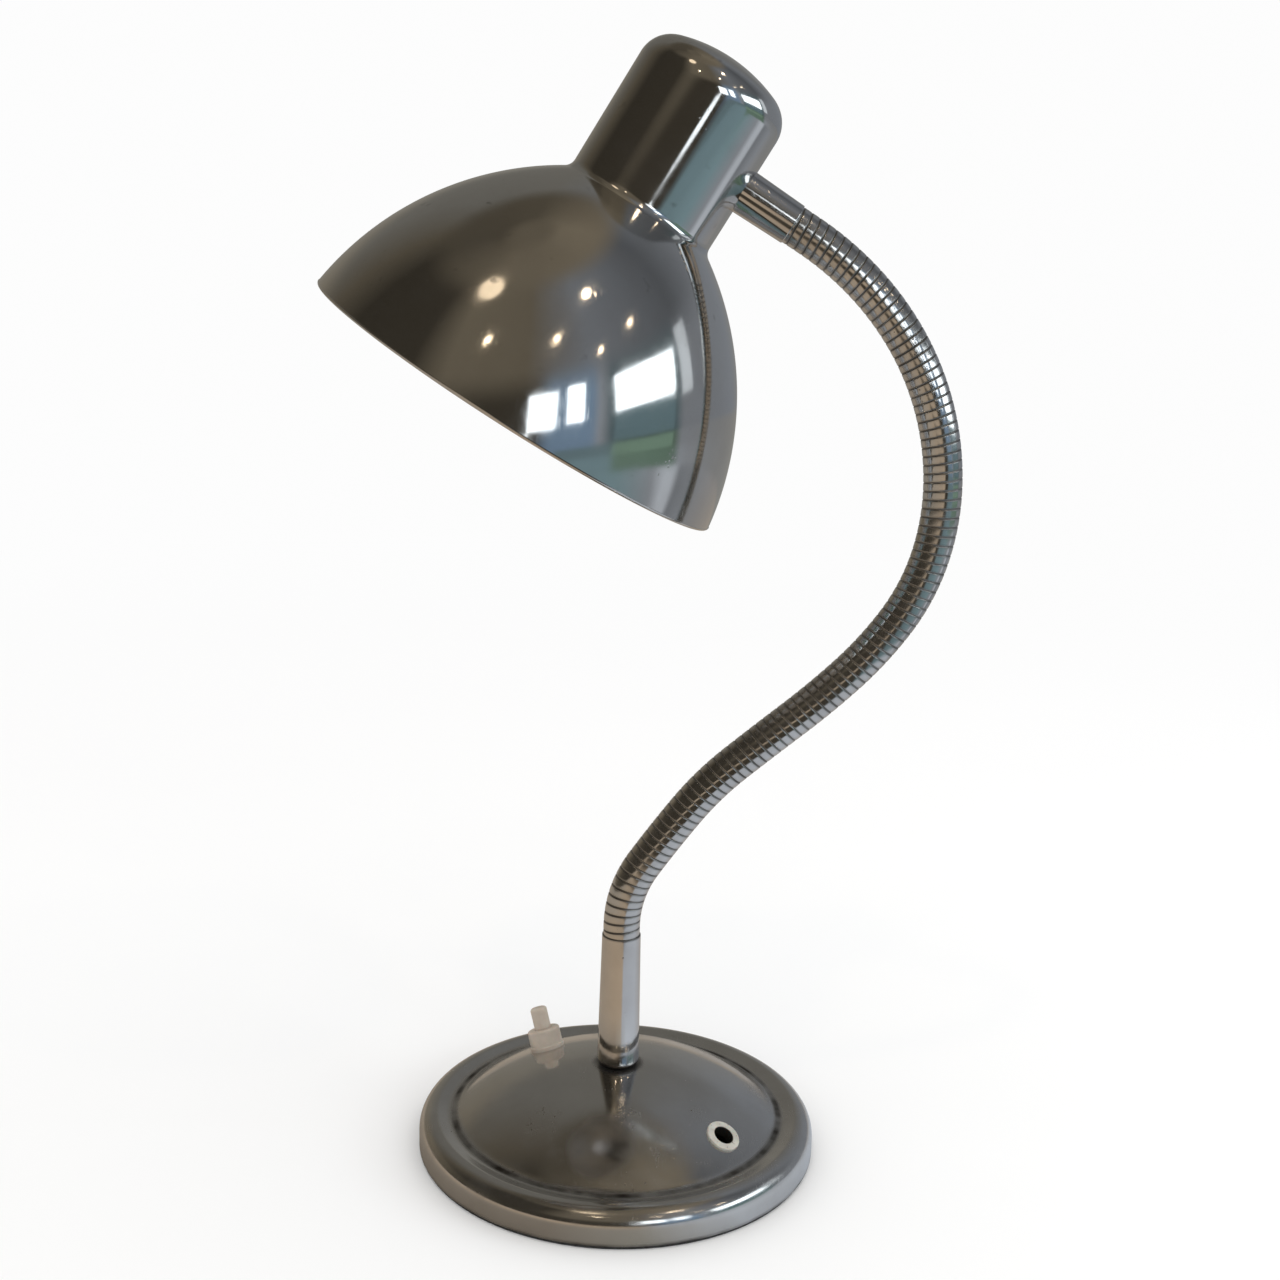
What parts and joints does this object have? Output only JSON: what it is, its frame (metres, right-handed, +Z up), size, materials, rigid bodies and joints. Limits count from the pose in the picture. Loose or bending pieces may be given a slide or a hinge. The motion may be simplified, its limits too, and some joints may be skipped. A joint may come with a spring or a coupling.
{
  "type": "gooseneck desk lamp",
  "caption": "Chromed desk lamp: weighted domed base with a push switch, flexible wound gooseneck, and a spun bell shade whose tall cap houses the lampholder.",
  "frame": {"origin": "on the table, under the middle of the base", "axes": "+Z up; +X towards the bulge of the neck, so the shade looks towards -X; +Y to the back"},
  "size_m": [0.2403, 0.169, 0.4298],
  "materials": {
    "chrome_base": "polished chrome, dulled by use",
    "chrome_shade": "polished chrome on a spun shade",
    "chrome_tube": "polished chrome tube",
    "chrome_neck": "chromed wound wire, dark between the turns",
    "cast_weight": "rough casting",
    "plain_steel": "zinc plated",
    "felt": "black felt",
    "ivory_plastic": "moulded ivory plastic",
    "bush_plastic": "moulded off-white plastic",
    "dark_phenolic": "moulded dark phenolic",
    "brass": "plain brass",
    "bulb_cap_metal": "nickel plated",
    "bulb_glass": "frosted glass"
  },
  "bodies": {
    "base": {"base_shell": "chrome_base", "ballast_weight": "cast_weight", "bottom_plate": "plain_steel", "bottom_screws": "plain_steel", "felt_pad": "felt", "stem_tube": "chrome_tube", "stem_nipple": "plain_steel", "stem_washer": "plain_steel", "stem_nut": "plain_steel", "neck_lower_end": "chrome_neck", "cord_grommet": "bush_plastic", "switch_body": "dark_phenolic", "switch_collar": "ivory_plastic", "switch_contact": "brass", "switch_spring": "plain_steel", "switch_terminals": "brass"},
    "switch_button": {"switch_button": "ivory_plastic"},
    "neck_link_01": {"neck_link_01": "chrome_neck"},
    "neck_link_02": {"neck_link_02": "chrome_neck"},
    "neck_link_03": {"neck_link_03": "chrome_neck"},
    "neck_link_04": {"neck_link_04": "chrome_neck"},
    "neck_link_05": {"neck_link_05": "chrome_neck"},
    "neck_link_06": {"neck_link_06": "chrome_neck"},
    "neck_link_07": {"neck_link_07": "chrome_neck"},
    "neck_link_08": {"neck_link_08": "chrome_neck"},
    "neck_link_09": {"neck_link_09": "chrome_neck"},
    "neck_link_10": {"neck_link_10": "chrome_neck"},
    "neck_link_11": {"neck_link_11": "chrome_neck"},
    "neck_link_12": {"neck_link_12": "chrome_neck"},
    "head": {"neck_upper_end": "chrome_neck", "upper_ferrule": "chrome_tube", "shade": "chrome_shade", "saddle_washer": "plain_steel", "head_nipple": "plain_steel", "head_nuts": "plain_steel", "holder_bracket": "plain_steel", "holder_nipple": "plain_steel", "lampholder_body": "dark_phenolic", "lampholder_thread": "brass", "lampholder_contact": "brass", "bulb_cap": "bulb_cap_metal", "bulb_glass": "bulb_glass"}
  },
  "joints": [
    {"name": "neck_side_bend", "type": "hinge", "parent": "base", "child": "neck_link_01", "pos_m": [0, 0, 0.09316], "axis": [-1, 0, 0], "range_deg": [-8, 8]},
    {"name": "neck_lower_bend", "type": "hinge", "parent": "neck_link_01", "child": "neck_link_02", "pos_m": [0.00795, 0, 0.11917], "axis": [0, 1, 0], "range_deg": [-12, 10]},
    {"name": "neck_lower_bend_2", "type": "hinge", "parent": "neck_link_02", "child": "neck_link_03", "pos_m": [0.02398, 0, 0.14164], "axis": [0, 1, 0], "range_deg": [-12, 10]},
    {"name": "neck_side_bend_2", "type": "hinge", "parent": "neck_link_03", "child": "neck_link_04", "pos_m": [0.04277, 0, 0.16179], "axis": [-0.6561, 0, 0.7547], "range_deg": [-8, 8]},
    {"name": "neck_lower_bend_3", "type": "hinge", "parent": "neck_link_04", "child": "neck_link_05", "pos_m": [0.06375, 0, 0.17971], "axis": [0, 1, 0], "range_deg": [-12, 10]},
    {"name": "neck_lower_bend_4", "type": "hinge", "parent": "neck_link_05", "child": "neck_link_06", "pos_m": [0.0841, 0, 0.19835], "axis": [0, 1, 0], "range_deg": [-12, 10]},
    {"name": "neck_side_bend_3", "type": "hinge", "parent": "neck_link_06", "child": "neck_link_07", "pos_m": [0.10162, 0, 0.21962], "axis": [-0.829, 0, 0.5592], "range_deg": [-8, 8]},
    {"name": "neck_upper_bend", "type": "hinge", "parent": "neck_link_07", "child": "neck_link_08", "pos_m": [0.11302, 0, 0.24461], "axis": [0, 1, 0], "range_deg": [-8, 15]},
    {"name": "neck_upper_bend_2", "type": "hinge", "parent": "neck_link_08", "child": "neck_link_09", "pos_m": [0.11613, 0, 0.27194], "axis": [0, 1, 0], "range_deg": [-8, 15]},
    {"name": "neck_side_bend_4", "type": "hinge", "parent": "neck_link_09", "child": "neck_link_10", "pos_m": [0.11159, 0, 0.29908], "axis": [-0.9563, 0, -0.2924], "range_deg": [-8, 8]},
    {"name": "neck_upper_bend_3", "type": "hinge", "parent": "neck_link_10", "child": "neck_link_11", "pos_m": [0.10018, 0, 0.32412], "axis": [0, 1, 0], "range_deg": [-8, 15]},
    {"name": "neck_upper_bend_4", "type": "hinge", "parent": "neck_link_11", "child": "neck_link_12", "pos_m": [0.08285, 0, 0.34552], "axis": [0, 1, 0], "range_deg": [-8, 15]},
    {"name": "neck_side_bend_5", "type": "hinge", "parent": "neck_link_12", "child": "head", "pos_m": [0.061, 0, 0.36229], "axis": [-0.515, 0, -0.8572], "range_deg": [-8, 8]},
    {"name": "switch_press", "type": "slide", "parent": "base", "child": "switch_button", "axis": [0.2667, -0.2238, -0.9374], "range_m": [0, 0.003], "stiffness_N_per_m": 500, "springref_m": -0.003, "deforming": ["switch_spring"]}
  ],
  "couplings": [
    {"joint": "neck_lower_bend_2", "follows": "neck_lower_bend", "ratio": 1},
    {"joint": "neck_side_bend_2", "follows": "neck_side_bend", "ratio": 1},
    {"joint": "neck_lower_bend_3", "follows": "neck_lower_bend", "ratio": 1},
    {"joint": "neck_lower_bend_4", "follows": "neck_lower_bend", "ratio": 1},
    {"joint": "neck_side_bend_3", "follows": "neck_side_bend", "ratio": 1},
    {"joint": "neck_upper_bend_2", "follows": "neck_upper_bend", "ratio": 1},
    {"joint": "neck_side_bend_4", "follows": "neck_side_bend", "ratio": 1},
    {"joint": "neck_upper_bend_3", "follows": "neck_upper_bend", "ratio": 1},
    {"joint": "neck_upper_bend_4", "follows": "neck_upper_bend", "ratio": 1},
    {"joint": "neck_side_bend_5", "follows": "neck_side_bend", "ratio": 1}
  ]
}
